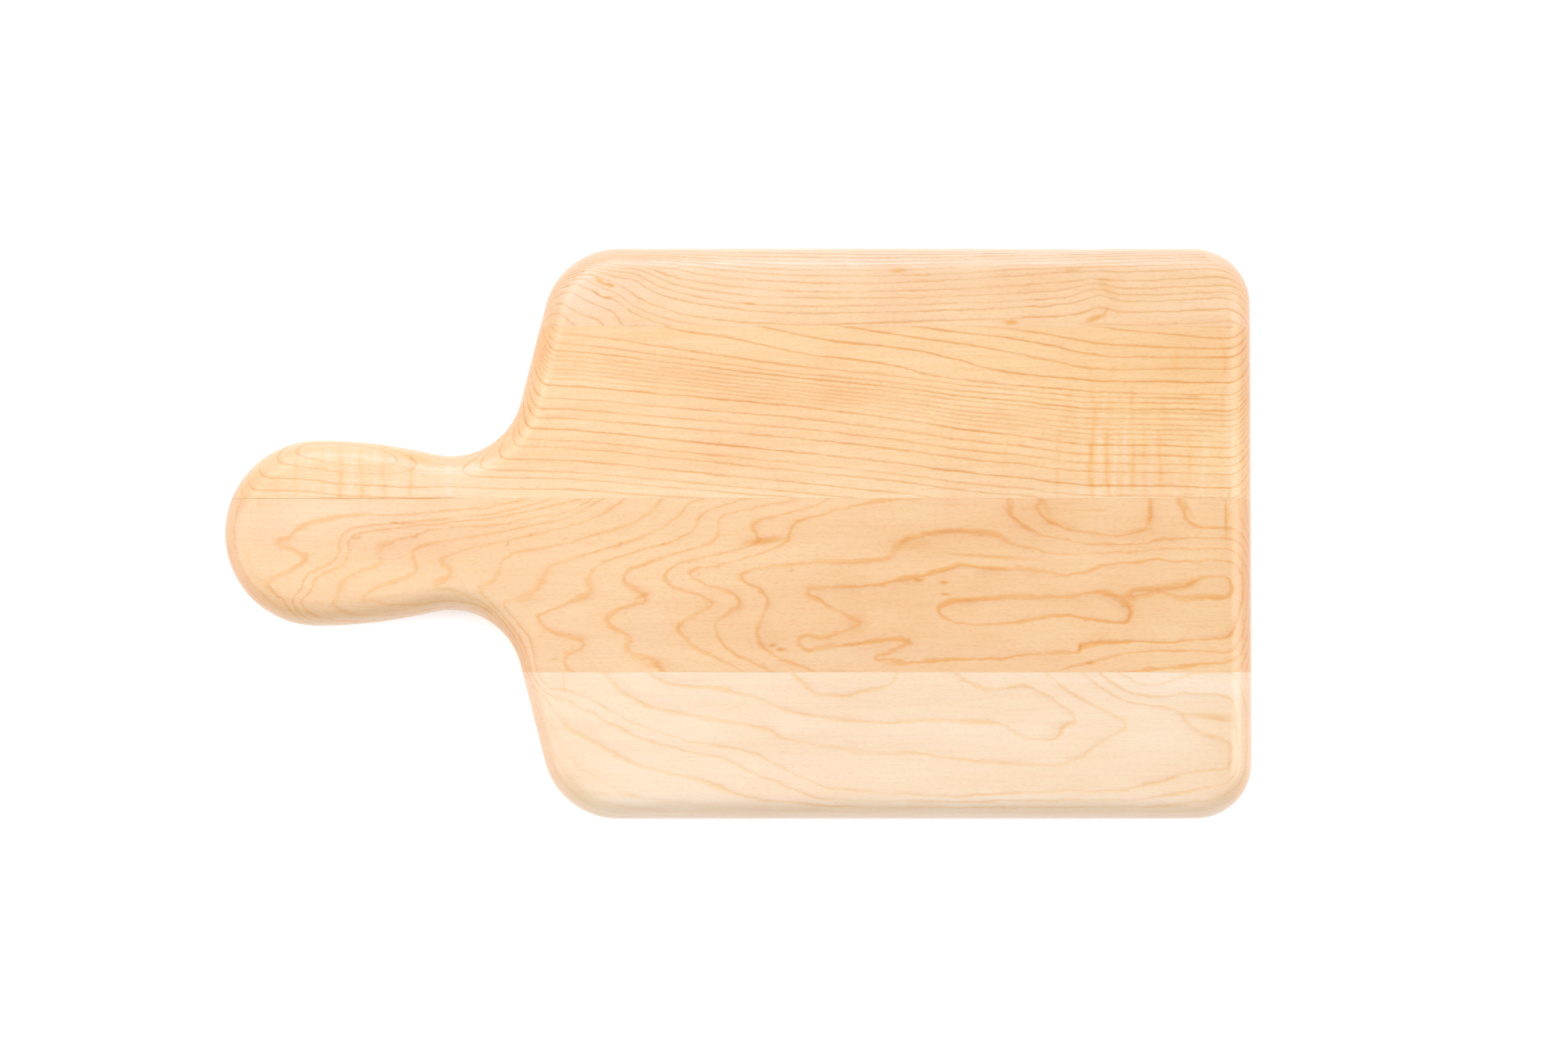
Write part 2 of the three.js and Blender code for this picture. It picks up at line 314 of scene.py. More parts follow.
RUN = [(-185, -0.7), (-170, -0.66), (-160, -0.63), (-150, -0.52), (-145, -0.4), (-140, -0.29),
       (-130, -0.22), (-120, -0.13), (-111, -0.08), (-103, -0.14), (-95, -0.09), (-85, -0.03),
       (-72, 0), (-62, 0.04), (-20, 0.52), (20, 1), (40, 1.17), (60, 1.35), (77, 1.54),
       (90, 1.65), (100, 1.71), (112, 1.84), (125, 1.93), (150, 1.95), (172, 2), (185, 2.02)]

# From this ring on, the lines rise over the neck: where, how far to either side, how high.
NECK_RISE_FROM = 2
NECK_RISE = (-110, 10, 2.6)

# How strong each growth line is. The rest take a chance value between two bounds.
CHANCE_STRENGTHS = (0.45, 0.8)
LINE_STRENGTHS = {
    "narrow_edge": {1: 0.7, 2: 0.6, 3: 0.75, 4: 0.7, 5: 0.6, 6: 0.75, 7: 0.75, 8: 0.6, 9: 0.65,
                    10: 0.7, 11: 0.6, 12: 0.6, 13: 0.6},
    "straight_grain": {line[0]: line[1] for line in STRAIGHT_GRAIN_HEIGHTS + WANDERING_LINES},
    "handle": {1: 0.75, 2: 0.65, 3: 0.65, 4: 0.6, 5: 0.65, 6: 0.6, 7: 0.65, 8: 0.65, 9: 0.7,
               10: 0.75, 11: 0.85, 12: 0.85, 13: 0.75, 14: 1.0, 15: 1.0},
    "pale_edge": {5: 0.8, 4: 0.8, 3: 0.75, 2: 0.75, 1: 0.8, 0: 0.75, -1: 0.3, -2: 0.3, -3: 0.3},
}

# Curl: soft bars across the grain, where the fibres wave. Each is its place along X and how
# much darker (or paler, if negative) it is; a patch holds for a span of Y.
CURL = [
    ((5, 42), [(100.5, 0.2), (110.5, -0.4), (113.5, 0.5), (118, -0.2), (122, -0.7), (125.5, 1.1),
                (128, -1.3), (131, 0.9), (133.5, -0.9), (135.5, 0.5), (137.5, -1.1), (140, 0.7),
                (142, -0.8), (144, 0.6), (146.5, -0.9), (149.5, 0.6), (155, -0.6), (159.5, 0.5),
                (165, -0.7), (171.8, 0.3)]),
    ((34, 54), [(117, 0.4), (122, -0.5), (126.5, 0.55), (129.5, -0.6), (132, 0.45), (134, -0.4),
                (137.5, -0.5), (140, 0.7), (142, -0.5), (144, 0.3), (151, 0.4), (154, -0.4),
                (172.3, 0.45)]),
    ((47, 72), [(116, 0.2), (121.5, -0.2), (125, 0.3), (129.5, -0.3), (132.5, 0.25), (137.5, 0.3),
                (145.5, -0.25), (151.5, -0.2), (156, 0.4), (165, -0.2), (172.5, 0.6)]),
    ((4, 36), [(-167, 0.2), (-162.5, 0.45), (-156, 0.4), (-151, -0.6), (-147, 0.4), (-144.5, -0.5),
                (-141, 0.7), (-136.5, -1.0), (-133.5, 0.6), (-128.5, -0.6), (-125, 0.55),
                (-121.5, -0.5), (-116, 0.6), (-111.5, -0.3), (-108.5, -0.3), (-102.5, -0.7)]),
    ((12, 44), [(66, -0.2), (75.5, 0.3), (80, -0.35), (82.5, 0.3), (88.5, -0.25), (95, 0.3)]),
]
CURL_WIDTH = 1.2  # of a bar, to either side
CURL_BOW = 0.6  # how far a bar swings sideways
CURL_BOW_LENGTH = 5  # of Y, for one radian of the swing

# Flecks in the wood: x, y, length, width, lean in degrees and strength.
# A short, round fleck is a small pit, and its pale heart is a painted glint.
ROUND_FLECK = 2.6  # one less drawn out than this has a pale heart
PIT_GLINT = 1.9  # how strong the heart is
GLINT_PLACE = (-0.25, 0.35)  # in half lengths and half widths of the fleck
GLINT_SIZE = 0.5
FLECKS = {
    "narrow_edge": [
        (-49, 89, 4.2, 1.5, -35, 0.9), (-45.5, 87.7, 4, 1.5, -15, 1),
        (-50, 84.7, 3.6, 1.1, -35, 0.7), (-46, 83.2, 4, 1.5, 5, 0.7),
        (4.5, 81, 4.6, 0.9, -5, 0.8), (57, 92.8, 6, 1.7, 0, 0.8), (118, 93.4, 7, 1.2, 0, 0.7),
        (97, 74.4, 5.2, 1.9, 0, 0.9), (126.5, 75.8, 7, 2, 20, 0.9),
        (131, 86.3, 8, 2.6, -42, 0.35), (129.5, 89.7, 5, 1.1, 0, 0.4),
        (130.5, 78.2, 4, 1.2, 60, 0.5),
    ],
    "straight_grain": [
        (82, 57.6, 10, 1, 0, 0.3), (50, 56.4, 14, 1.2, -6, 0.25), (140, 43, 22, 0.9, 0, 0.35),
        (173.8, 13.5, 6, 0.7, 90, 0.5), (-142, 12.3, 14, 0.7, 0, 0.5),
        (-124, 12.2, 34, 0.6, 0, 0.35), (-111, 12.1, 12, 0.8, 0, 0.5),
    ],
    "handle": [
        (-134.8, -1.8, 3.4, 1.4, -5, 1), (-131.7, -5.8, 1.4, 1.1, 0, 0.6),
        (-128.3, -5.6, 1.6, 0.8, 0, 0.5), (-118, 3, 9, 0.8, -2, 0.6),
        (-121.5, 3.3, 2.6, 1, -8, 0.7), (-114, -1, 2.3, 1.5, 10, 0.9),
        (-110, 0.8, 1.7, 1, 30, 0.7), (-81.6, -4, 1.7, 1.4, 50, 0.9),
        (-74, -1.2, 2.8, 1.2, 15, 0.8), (-61.7, -2.3, 2, 1.4, 0, 0.5),
        (-26.3, -4, 1.5, 1.4, 0, 0.7), (-42, -4.3, 2.4, 1, 10, 0.7), (-40, -28.4, 2, 1, 0, 0.7),
        (-14.6, -15, 3, 1.5, 10, 0.6), (-7, -12.1, 1.8, 0.9, 0, 0.7),
        (9.3, -3.1, 15, 2.6, 7, 0.85), (18.5, -13.4, 3, 1.2, -5, 0.7),
        (13.2, -17.9, 2, 0.9, 0, 0.6), (12.5, -40, 3, 1.1, 10, 1), (15.4, -41.5, 3.6, 1.3, 0, 1),
        (25, -42.1, 2.2, 1, 0, 0.8), (64, -17, 3.6, 1.3, 0, 1), (73, -17.8, 3.2, 1.2, 0, 1),
        (73.3, -22, 3.8, 1, -8, 0.9), (66.7, -44.8, 2.4, 0.8, 0, 0.5),
        (121, -40.7, 3.4, 1.2, 80, 0.8), (124.5, -46.3, 3.2, 1.2, 0, 0.8),
        (158.5, -18.6, 8, 3.2, 18, 0.5), (147, -19.6, 16, 1.8, 5, 0.2),
        (63, -4.5, 13, 3.6, 10, 0.25), (172.8, 5, 14, 1, 90, 0.8), (89, -8.6, 32, 1.3, -4, 0.6),
        (102, 8.4, 4, 0.5, 0, 0.5), (127, 7.8, 10, 0.6, 0, 0.5), (-64.5, -45, 3, 1, 0, 0.5),
        (-30, -46.5, 7, 3, -10, 0.25), (-142, 11.8, 14, 0.7, 0, 0.4),
        (-124, 11.8, 34, 0.6, 0, 0.35), (-111, 11.8, 12, 0.8, 0, 0.5),
        (-34, -22.8, 6, 1.6, 25, 0.5), (141.5, 0.5, 11, 1.9, 8, 0.35),
        (146.2, 7, 14, 1.9, 90, 0.3), (96.8, 10.5, 9, 2.2, 95, 0.35),
        (109, 9, 10, 2.6, -62, 0.35), (116.5, 2.4, 13, 1.7, -22, 0.3), (159, 9, 11, 2, -62, 0.3),
        (167, 2, 13, 1.2, -6, 0.3), (58, -3.2, 7, 2.2, 30, 0.35), (74, 0.2, 24, 1.6, 0, 0.3),
    ],
    "pale_edge": [
        (166, -65, 17, 2.3, -3, 0.55), (171, -66.4, 8, 1.6, -6, 0.4),
        (173.6, -79, 13, 1.4, 90, 0.3), (-61.4, -52, 8, 0.9, 95, 0.3),
        # (-44, -92.4) is no fleck but a painted line of shade along the near arris.
        (-64.8, -55.8, 8, 0.9, 0, 0.3), (-44, -92.4, 28, 0.8, -3, 0.3),
    ],
}

# Soft patches where the wood is darker, or paler if negative, with the same columns as FLECKS. The
# long pale ones along the rims are painted highlight, where the round-over catches the light.
TONES_AND_RIM_HIGHLIGHTS = {
    "narrow_edge": [
        # (60, 98) and (150, 98) paint a highlight on the far rim.
        (132, 83, 13, 15, 0, 0.4), (-48, 82, 30, 26, 0, -0.35), (60, 98, 320, 12, 0, -1),
        (-55, 90, 30, 26, 0, -0.35), (150, 98, 70, 12, 0, -0.4), (-57, 80, 18, 20, 0, -0.3),
    ],
    "straight_grain": [
        (0, 15, 340, 18, -2, -0.5), (0, 33, 200, 28, -4, -0.2), (-105, 19, 40, 14, 0, -0.2),
        (150, 44, 90, 44, 0, 0.5), (90, 17, 90, 12, -3, -0.4), (-92, 16, 30, 10, 0, -0.35),
        # (174.3, 44) paints a highlight along the right end's arris.
        (-140, 14, 90, 22, 0, -0.4), (178.5, 44, 7, 100, 0, 0.5), (174.3, 44, 4, 70, 0, -0.9),
        # (-103, 20) paints a highlight on the neck's upper rim; (-112.5, 26) and (-122, 29) darken a
        # band along the rim above the swell.
        (-103, 20, 26, 7, 0, -0.8), (-112.5, 26, 9, 4, -15, 1), (-122, 29, 18, 2.6, -14, 0.8),
    ],
    "handle": [
        (5, -3, 18, 8, 8, 0.35), (75, -6, 48, 8, -5, 0.4), (106, 7, 26, 14, 0, 0.45),
        (-10, -27, 14, 18, 0, 0.25), (41, -32.5, 9, 9, 0, 0.45), (139, -29, 9, 9, 0, 0.5),
        (146, 2, 24, 10, 0, 0.25), (175, 2, 16, 30, 0, 0.3), (33, -38.5, 13, 3, 5, 0.5),
        (-143, -8, 14, 24, 0, 0.2), (-50, -43, 44, 14, 0, -0.5), (-33, -33, 16, 16, 0, -0.35),
        (-62, -27, 16, 14, 0, -0.25), (-125, -2, 34, 10, 0, -0.2), (-145, 8, 90, 16, 0, -0.5),
        # (-135, -29.5) and (-98, -24) paint a highlight on the lower rims of the knob and the neck.
        (-135, -29.5, 84, 13, 2, -1), (-98, -24, 26, 9, 0, -0.7), (175, 2, 20, 30, 0, 0.2),
        (110, 4, 30, 14, 0, 0.2), (50, -43, 44, 9, 0, -0.5), (92, -43, 60, 7, 0, -0.2),
        (-34, -22.5, 7, 4, 20, 0.6), (-57, -40, 6, 8, 30, 0.5), (-46, -30, 5, 5, 0, 0.4),
        (-39, -40, 4, 6, 0, 0.4), (-31, -45.8, 14, 4, -8, 0.9), (-10, -24.5, 6, 4, 20, 0.5),
        (-20.5, -33, 5, 4, 0, 0.4), (0, -23, 5, 4, 0, 0.4), (42, -31.8, 8, 5, 30, 0.8),
        (57, -4, 10, 5, 20, 0.6), (26, -19.8, 8, 3, 0, 0.5), (1, -15, 5, 3, 0, 0.4),
        (19.5, 2.5, 4, 6, -20, 0.6), (6.5, 2, 4, 5, 0, 0.6), (60, -39, 6, 3, 0, 0.5),
        (64, -6, 22, 7, -8, 0.3), (157, -18.5, 12, 3.5, 10, 0.8), (149, -20.3, 18, 2, 3, 0.6),
        # (-177.5, 0) paints a highlight on the knob's end.
        (-52, -17.5, 4, 6, 0, 0.3), (178.5, -18, 8, 90, 0, 0.5), (-177.5, 0, 4, 34, 0, -0.7),
        (-163, 0, 26, 24, 0, -0.35), (-135, 2, 70, 22, 0, -0.35), (30, -42, 30, 12, 0, -0.35),
    ],
    "pale_edge": [
        (127, -75, 22, 12, 0, 0.5), (168, -72, 18, 30, 0, 0.4), (-52, -88, 26, 14, 0, 0.2),
        (0, -70, 70, 16, -8, 0.12), (35, -75, 44, 11, 0, -0.2), (175, -77, 14, 44, 0, 0.6),
        # (60, -96.5) paints a highlight on the near rim.
        (172, -57, 16, 9, 0, -0.5), (-62, -80, 14, 34, 35, 0.5), (60, -96.5, 330, 6, 0, -0.4),
        (-57.7, -91.7, 24, 4.5, -50, 0.6), (152, -55.5, 40, 8, 0, -0.35),
    ],
}

# How the rings go on below the face: by how much a ring moves per millimetre of depth (a
# tilt is along Y alone, a drift along X and Y), and how many rings the depth adds or takes.
# A list gives its value at places along X.
STRAIGHT_GRAIN_TILT = [(-165, 1.25), (-150, 1.3), (-140, 1.6), (-128, 1.75), (-118, 2.1),
                       (-103, 2.4), (-85, 2.15), (-60, 1.9), (60, 1.4), (180, 1.25)]
NARROW_EDGE_TILT = -1.0
HANDLE_RINGS_PER_DEPTH = [(-180, -0.2), (-130, -0.25), (-70, -0.42), (180, -0.42)]
PALE_RINGS_PER_DEPTH = -0.32
HANDLE_DRIFT = (0.9, 0.25)
PALE_DRIFT = (1.1, -0.2)

# How the field through the growth lines is worked out.
GUIDE_STEP = 3.2  # spacing of the samples taken along a guide line
FIELD_SCALE = 100.0  # millimetres that the field's own unit stands for
FIELD_SOFTNESS = 2e-4  # how much it may miss a sample to stay smooth
WIDEST_RING = 90.0
RING_NUMBERS = (-60, 90)  # all that may come up, with the depth's share


# ---- Outline ------------------------------------------------------------------------------

def arc(centre, radius, start, end, hollow=False):
    """Points round an arc and the outline's outward normals there."""
    count = max(3, math.ceil(abs(end - start) * radius / OUTLINE_STEP))
    angles = np.linspace(start, end, count + 1)
    radial = np.column_stack([np.cos(angles), np.sin(angles)])
    return np.array(centre) + radius * radial, -radial if hollow else radial


def straight(start, end):
    """Points between two ends, both left out, and the normals on their left."""
    along = end - start
    length = np.hypot(*along)
    count = max(1, math.ceil(length / OUTLINE_STEP))
    shares = np.linspace(0, 1, count + 1)[1:-1, None]
    points = start + shares * along
    normal = np.array([-along[1], along[0]]) / length
    return points, np.tile(normal, (len(points), 1))


def upper_half():
    """The outline's +Y half, from the knob's tip to the middle of the square end."""
    half_turn = math.pi / 2
    knob_x = -LENGTH / 2 + KNOB_RADIUS
    top_y = WIDTH / 2

    run = NECK_X - knob_x
    drop = KNOB_RADIUS - NECK_HALF_WIDTH
    swell_turn = 2 * math.atan(drop / run)
    swell_radius = run / math.sin(swell_turn) - NECK_FILLET

    normal_x, normal_y = math.cos(SHOULDER_LEAN), -math.sin(SHOULDER_LEAN)
    neck_y = NECK_HALF_WIDTH + NECK_FILLET
    shoulder_offset = normal_x * NECK_X + normal_y * neck_y + NECK_FILLET
    corner_y = top_y - SHOULDER_CORNER
    corner_x = (shoulder_offset + SHOULDER_CORNER - normal_y * corner_y) / normal_x
    end_corner = (LENGTH / 2 - END_CORNER, top_y - END_CORNER)

    knob = arc((knob_x, 0), KNOB_RADIUS, math.pi, half_turn)
    swell = arc((knob_x, KNOB_RADIUS - swell_radius), swell_radius, half_turn, half_turn - swell_turn)
    neck = arc((NECK_X, neck_y), NECK_FILLET, -half_turn - swell_turn, -SHOULDER_LEAN, hollow=True)
    shoulder = arc((corner_x, corner_y), SHOULDER_CORNER, math.pi - SHOULDER_LEAN, half_turn)
    corner = arc(end_corner, END_CORNER, half_turn, 0)
    middle = (np.array([[LENGTH / 2, 0.0]]), np.array([[1.0, 0.0]]))

    stretches = [
        knob,
        (swell[0][1:], swell[1][1:]),
        (neck[0][1:], neck[1][1:]),
        straight(neck[0][-1], shoulder[0][0]),
        shoulder,
        straight(shoulder[0][-1], corner[0][0]),
        corner,
        straight(corner[0][-1], middle[0][0]),
        middle,
    ]
    points = np.vstack([s[0] for s in stretches])
    normals = np.vstack([s[1] for s in stretches])
    return points, normals


def outline():
    """The whole outline, anticlockwise, with its outward normals."""
    points, normals = upper_half()
    mirror = np.array([1, -1])
    around = np.vstack([points[:-1] * mirror, points[:0:-1]])
    facing = np.vstack([normals[:-1] * mirror, normals[:0:-1]])
    return around, facing


# ---- The board as one mesh ----------------------------------------------------------------

def round_over(rings):
    """Insets, depths and tilts of the normal, from the face's arris to the side."""
    tilts = np.linspace(ARRIS_TILT, math.pi / 2, rings + 1)
    insets = EDGE_RADIUS * (1 - np.sin(tilts))
    depths = EDGE_RADIUS * (math.cos(ARRIS_TILT) - np.cos(tilts))
    return list(zip(insets, depths, tilts))


def inside(points, loop):
    """Which points are inside a closed loop."""
    x, y = points[:, 0], points[:, 1]
    crossings = np.zeros(len(points), bool)
    for (x0, y0), (x1, y1) in zip(loop, np.roll(loop, -1, axis=0)):
        if y0 == y1:
            continue
        spans = (y0 > y) != (y1 > y)
        crossings ^= spans & (x < (x1 - x0) * (y - y0) / (y1 - y0) + x0)
    return crossings


def filling(loop, step, margin, extra=None):
    """Points in rows over the inside of a loop, each row shifted by half a step."""
    low, high = loop.min(0), loop.max(0)
    row_step = step * math.sqrt(3) / 2
    rows = np.arange(low[1] + row_step, high[1], row_step)
    columns = np.arange(low[0] + step, high[0], step)
    x = columns[None, :] + (np.arange(len(rows)) % 2)[:, None] * step / 2
    y = np.repeat(rows[:, None], len(columns), axis=1)
    points = np.column_stack([x.ravel(), y.ravel()])
    if extra is not None:
        points = np.vstack([points, extra])
    points = points[inside(points, loop)]
    clear = np.full(len(points), np.inf)
    for corner in loop:
        clear = np.minimum(clear, np.hypot(*(points - corner).T))
    return points[clear > margin]


def around_flecks():
    """Close-set points where the flecks are, so that the mesh can hold their shape."""
    found = []
    for flecks in FLECKS.values():
        for x, y, length, width, lean, _ in flecks:
            along = np.arange(-0.7 * length, 0.7 * length, FLECK_STEP)
            across = np.arange(-0.9 * width, 0.9 * width, FLECK_STEP)
            u, v = np.meshgrid(along, across)
            turn = math.radians(lean)
            found.append(np.column_stack([
                (x + u * math.cos(turn) - v * math.sin(turn)).ravel(),
                (y + u * math.sin(turn) + v * math.cos(turn)).ravel(),
            ]))
    return np.vstack(found)


def face_triangles(loop, step, extra=None):
    """The inner points of a flat face and its triangles, which count the loop first."""
    inner = filling(loop, step, 0.55 * step, extra)
    flat = [Vector(p) for p in np.vstack([loop, inner])]
    made = delaunay_2d_cdt(flat, [], [list(range(len(loop)))], 1, 1e-6)
    assert len(made[0]) == len(flat)
    return inner, made[2]


def whole_board():
    """The board in one mesh, with the outward normal stored at each vertex."""
    points, normals = outline()
    count = len(points)
    above = round_over(TOP_RINGS)
    below = [
        (inset, THICKNESS - depth, math.pi - tilt)
        for inset, depth, tilt in round_over(UNDER_RINGS)
    ]
    profile = above + below[::-1]

    rings, ring_normals = [], []
    for inset, depth, tilt in profile:
        height = np.full(count, THICKNESS - depth)
        rings.append(np.column_stack([points - inset * normals, height]))
        upright = np.full(count, math.cos(tilt))
        ring_normals.append(np.column_stack([normals * math.sin(tilt), upright]))

    faces = []
    for ring in range(len(profile) - 1):
        upper, lower = ring * count, (ring + 1) * count
        for i in range(count):
            j = (i + 1) % count
            faces.append((upper + j, upper + i, lower + i, lower + j))

    inset_loop = points - EDGE_INSET * normals
    top_inner, top_faces = face_triangles(inset_loop, FACE_STEP, around_flecks())
    under_inner, under_faces = face_triangles(inset_loop, UNDERSIDE_STEP)

    last_ring = (len(profile) - 1) * count
    top_start = len(profile) * count
    under_start = top_start + len(top_inner)
    for face in top_faces:
        faces.append([i if i < count else top_start + i - count for i in face])
    for face in under_faces:
        faces.append([last_ring + i if i < count else under_start + i - count for i in reversed(face)])

    vertices = np.vstack(rings + [
        np.column_stack([top_inner, np.full(len(top_inner), THICKNESS)]),
        np.column_stack([under_inner, np.zeros(len(under_inner))]),
    ])
    outward = np.vstack(ring_normals + [
        np.tile([0.0, 0.0, 1.0], (len(top_inner), 1)),
        np.tile([0.0, 0.0, -1.0], (len(under_inner), 1)),
    ])

    mesh = bpy.data.meshes.new("whole_board")
    mesh.from_pydata((vertices * MM).tolist(), [], faces)
    stored = mesh.attributes.new("outward", "FLOAT_VECTOR", "POINT")
    stored.data.foreach_set("vector", outward.astype(np.float32).ravel())
    return mesh


def slice_across(board, name, low_y, high_y):
    """The part of the board between two planes across Y, closed where it was cut."""
    bm = bmesh.new()
    bm.from_mesh(board)
    for height, facing in ((low_y, -1), (high_y, 1)):
        if abs(height) >= WIDTH / 2:
            continue
        cut = bmesh.ops.bisect_plane(
            bm,
            geom=bm.verts[:] + bm.edges[:] + bm.faces[:],
            dist=1e-7,
            plane_co=(0, height * MM, 0),
            plane_no=(0, facing, 0),
            clear_outer=True,
        )
        rim = [e for e in cut["geom_cut"] if isinstance(e, bmesh.types.BMEdge)]
        bmesh.ops.edgeloop_fill(bm, edges=rim)
    bm.faces.ensure_lookup_table()
    many_sided = [f for f in bm.faces if len(f.verts) > 4]
    bmesh.ops.triangulate(bm, faces=many_sided)
    bmesh.ops.recalc_face_normals(bm, faces=bm.faces[:])
    for face in bm.faces:
        face.smooth = True
    mesh = bpy.data.meshes.new(name)
    bm.to_mesh(mesh)
    bm.free()
    mesh.set_sharp_from_angle(angle=SHARP_EDGE)
    piece = bpy.data.objects.new(name, mesh)
    bpy.context.scene.collection.objects.link(piece)
    return piece


# ---- Growth rings -------------------------------------------------------------------------

def curve_through(points):
    """Samples along a smooth curve through the points."""
    points = np.array(points, float)
    closed = np.allclose(points[0], points[-1])
    before = points[-2] if closed else 2 * points[0] - points[1]
    after = points[1] if closed else 2 * points[-1] - points[-2]
    knots = np.vstack([before, points, after])
    samples = []
    for a, b, c, d in zip(knots, knots[1:], knots[2:], knots[3:]):
        steps = max(1, round(np.hypot(*(c - b)) / GUIDE_STEP))
        t = (np.arange(steps) / steps)[:, None]
        samples.append(
            b
            + 0.5 * t * (c - a)
            + t**2 * (a - 2.5 * b + 2 * c - 0.5 * d)
            + t**3 * (1.5 * (b - c) + 0.5 * (d - a))
        )
    if not closed:
        samples.append(points[-1:])
    return np.vstack(samples)


class RingField:
    """Ring numbers over a stave's face: a thin plate bent through all its growth lines."""

    def __init__(self, lines):
        curves = [curve_through(points) for _, points in lines]
        rings = np.concatenate([np.full(len(c), float(ring)) for (ring, _), c in zip(lines, curves)])
        self.centres = np.vstack(curves) / FIELD_SCALE
        count = len(self.centres)
        system = np.zeros((count + 3, count + 3))
        gap = ((self.centres[:, None] - self.centres[None]) ** 2).sum(2)
        system[:count, :count] = gap * np.log(gap + 1e-12)
        system[:count, :count] += FIELD_SOFTNESS * np.eye(count)
        system[:count, count] = 1
        system[:count, count + 1:] = self.centres
        system[count:, :count] = system[:count, count:].T
        solved = np.linalg.solve(system, np.concatenate([rings, np.zeros(3)]))
        self.weights, self.plane = solved[:count], solved[count:]

    def __call__(self, x, y):
        """Ring number and its slopes along X and Y."""
        places = np.column_stack([x, y]) / FIELD_SCALE
        ring, slope_x, slope_y = np.empty(len(x)), np.empty(len(x)), np.empty(len(x))
        batch = 4000
        for start in range(0, len(x), batch):
            part = slice(start, start + batch)
            across = places[part, 0, None] - self.centres[None, :, 0]
            up = places[part, 1, None] - self.centres[None, :, 1]
            gap = across**2 + up**2 + 1e-12
            log_gap = np.log(gap)
            ring[part] = (gap * log_gap) @ self.weights
            slope_x[part] = (2 * across * (log_gap + 1)) @ self.weights
            slope_y[part] = (2 * up * (log_gap + 1)) @ self.weights
        ring += self.plane[0] + places @ self.plane[1:]
        slope_x = (slope_x + self.plane[1]) / FIELD_SCALE
        slope_y = (slope_y + self.plane[2]) / FIELD_SCALE
        return ring, slope_x, slope_y


def smooth_interp(x, knots):
    """A smooth curve through (x, value) knots, with no overshoot between them."""
    kx, ky = np.array(knots, float).T
    step = np.diff(kx)
    rise = np.diff(ky) / step
    slope = np.zeros(len(kx))
    same = rise[:-1] * rise[1:] > 0
    slope[1:-1][same] = 2 / (1 / rise[:-1][same] + 1 / rise[1:][same])
    i = np.clip(np.searchsorted(kx, x) - 1, 0, len(step) - 1)
    t = np.clip((x - kx[i]) / step[i], 0, 1)
    return (
        ky[i] * (1 + 2 * t) * (1 - t) ** 2
        + slope[i] * step[i] * t * (1 - t) ** 2
        + ky[i + 1] * t**2 * (3 - 2 * t)
        - slope[i + 1] * step[i] * t**2 * (1 - t)
    )


def along_board(x, value):
    """A value at every x, given as one number or as (x, value) knots."""
    return smooth_interp(x, value) if isinstance(value, list) else value


def straight_grain_heights(x):
    """Each line's ring number and its height at every x."""
    share = smooth_interp(x, RUN)
    heights = []
    rise_x, reach, rise = NECK_RISE
    swell = rise * np.exp(-(((x - rise_x) / reach) ** 2))
    for ring, _, left, middle, right in STRAIGHT_GRAIN_HEIGHTS:
        before = left + (middle - left) * share + swell * (ring >= NECK_RISE_FROM)
        after = middle + (right - middle) * (share - 1)
        heights.append((ring, np.where(share < 1, before, after)))
    for ring, _, points in WANDERING_LINES:
        heights.append((ring, smooth_interp(x, points)))
    return heights


def straight_grain_ring(x, y):
    """Ring number over the straight-grained stave's face."""
    ring = np.zeros(len(x))
    heights = straight_grain_heights(x)
    for (low_ring, low_y), (high_ring, high_y) in zip(heights, heights[1:]):
        part = low_ring + (high_ring - low_ring) * (y - low_y) / (high_y - low_y)
        ring = np.where((y >= low_y) & (y < high_y), part, ring)
    return ring


def straight_grain_field(x, y):
    """Ring number and its slopes along X and Y, as a RingField gives them."""
    reach = 0.4
    ring = straight_grain_ring(x, y)
    slope_x = (straight_grain_ring(x + reach, y) - straight_grain_ring(x - reach, y)) / (2 * reach)
    slope_y = (straight_grain_ring(x, y + reach) - straight_grain_ring(x, y - reach)) / (2 * reach)
    return ring, slope_x, slope_y


def store(mesh, name, values):
    """Keeps one number at each vertex, for the material to read."""
    layer = mesh.attributes.new(name, "FLOAT", "POINT")
    layer.data.foreach_set("value", values.astype(np.float32))


def line_strength(stave, ring):
    """The strength of the growth line that each ring number is nearest to."""
    first, end = RING_NUMBERS
    chance = np.random.default_rng(STAVES.index(stave))
    strengths = chance.uniform(*CHANCE_STRENGTHS, end - first)
    for number, strength in LINE_STRENGTHS[stave].items():
        strengths[number - first] = strength
    nearest = np.clip(np.round(ring), first, end - 1).astype(int)
    return strengths[nearest - first]


